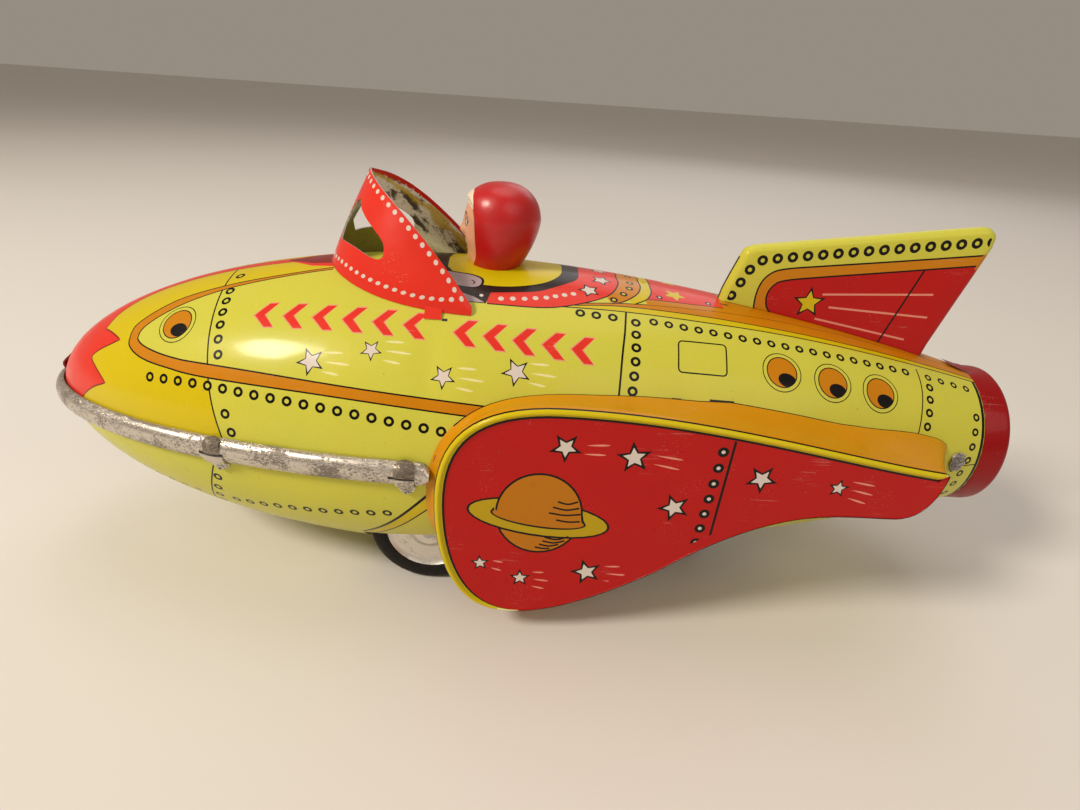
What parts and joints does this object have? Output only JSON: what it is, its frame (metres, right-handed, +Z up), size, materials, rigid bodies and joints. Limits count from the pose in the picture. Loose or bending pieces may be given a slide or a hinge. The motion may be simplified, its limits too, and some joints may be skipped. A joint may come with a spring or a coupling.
{
  "type": "tin toy space rocket",
  "caption": "Friction-drive tin toy space rocket with printed tin shells, teardrop wings, tail fin, open canopy over a pilot's head, bumper and wheels.",
  "frame": {"origin": "on the floor under the middle of the toy, at the centre of its bounding box's underside", "axes": "-Y towards the nose, +Z up, +X to the toy's left side"},
  "size_m": [0.0624, 0.1808, 0.075],
  "materials": {
    "litho_body": "gloss printed tinplate, yellow-green",
    "litho_red": "gloss printed tinplate, red",
    "bare_tin": "dull tinplate with age spots",
    "steel": "turned steel",
    "brass": "stamped brass",
    "black_rubber": "matt black rubber",
    "pilot_paint": "satin paint on a moulded head"
  },
  "bodies": {
    "casing": {"upper_shell": "litho_body", "lower_shell": "litho_body", "base_plate": "bare_tin", "nose_bumper": "bare_tin", "canopy": "litho_red", "pilot_head": "pilot_paint", "tail_fin": "litho_body", "wing_left": "litho_red", "wing_right": "litho_red", "tail_ring": "litho_red", "nozzle_disc": "bare_tin", "motor_plate_left": "bare_tin", "motor_plate_right": "bare_tin", "motor_pillars": "steel", "axle_bush_left": "brass", "axle_bush_right": "brass", "rear_fork": "bare_tin", "rear_pin": "steel"},
    "drive_wheels": {"drive_axle": "steel", "axle_gear": "brass", "wheel_face_left": "bare_tin", "wheel_face_right": "bare_tin", "wheel_back_left": "bare_tin", "wheel_back_right": "bare_tin", "tyre_left": "black_rubber", "tyre_right": "black_rubber"},
    "countershaft_set": {"countershaft": "steel", "counter_pinion": "steel", "counter_gear": "brass"},
    "flywheel_set": {"flywheel_shaft": "steel", "flywheel_pinion": "steel", "flywheel": "steel"},
    "rear_wheel": {"rear_hub": "bare_tin", "rear_tyre": "black_rubber"}
  },
  "joints": [
    {"name": "drive_spin", "type": "hinge", "parent": "casing", "child": "drive_wheels", "pos_m": [0, -0.0152, 0.0114], "axis": [1, 0, 0], "continuous": true},
    {"name": "countershaft_spin", "type": "hinge", "parent": "casing", "child": "countershaft_set", "pos_m": [0, -0.00787, 0.02013], "axis": [1, 0, 0], "continuous": true},
    {"name": "flywheel_spin", "type": "hinge", "parent": "casing", "child": "flywheel_set", "pos_m": [0, 0.0034, 0.02424], "axis": [1, 0, 0], "continuous": true},
    {"name": "rear_wheel_spin", "type": "hinge", "parent": "casing", "child": "rear_wheel", "pos_m": [0, 0.036, 0.0062], "axis": [1, 0, 0], "continuous": true}
  ],
  "couplings": [
    {"joint": "countershaft_spin", "follows": "drive_spin", "ratio": -2.8},
    {"joint": "flywheel_spin", "follows": "drive_spin", "ratio": 8.4}
  ]
}
